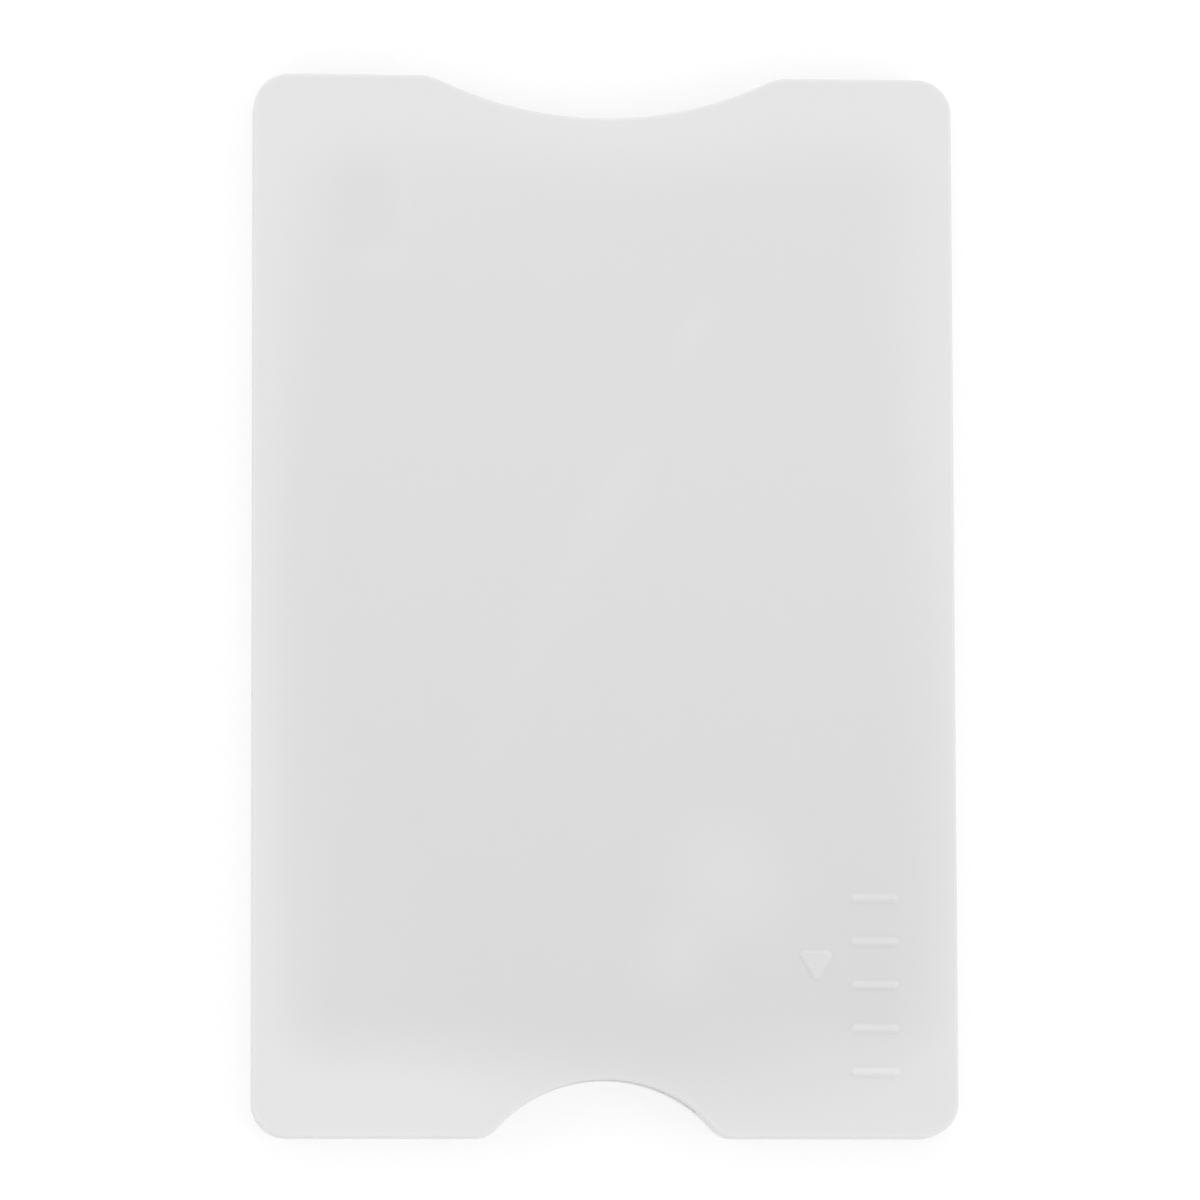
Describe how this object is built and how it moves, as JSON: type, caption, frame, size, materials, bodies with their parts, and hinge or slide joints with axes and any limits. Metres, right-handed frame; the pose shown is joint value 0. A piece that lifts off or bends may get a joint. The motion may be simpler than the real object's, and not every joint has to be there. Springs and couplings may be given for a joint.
{
  "type": "rfid card holder",
  "caption": "Rigid card sleeve of two welded shells with shield panels, an open end with a thumb notch and a round push-out notch at the closed end.",
  "frame": {"origin": "middle of the rear face, on the surface that the sleeve lies on", "axes": "+X across the sleeve, +Y towards the open end with the wide thumb notch, +Z out of the front face"},
  "size_m": [0.06, 0.091, 0.0042],
  "materials": {
    "milky_polystyrene_front": "milky polystyrene, satin moulded surface with raised grip bars",
    "milky_polystyrene_rear": "milky polystyrene, satin moulded surface",
    "aluminium_foil": "rolled foil, satin",
    "acrylic_adhesive": "soft transfer film, slightly cloudy",
    "clear_polyester_film": "clear film, glossy"
  },
  "bodies": {
    "root": {"front_shell": "milky_polystyrene_front", "rear_shell": "milky_polystyrene_rear", "front_shield": "aluminium_foil", "rear_shield": "aluminium_foil", "front_adhesive": "acrylic_adhesive", "rear_adhesive": "acrylic_adhesive", "front_liner": "clear_polyester_film", "rear_liner": "clear_polyester_film"}
  },
  "joints": []
}
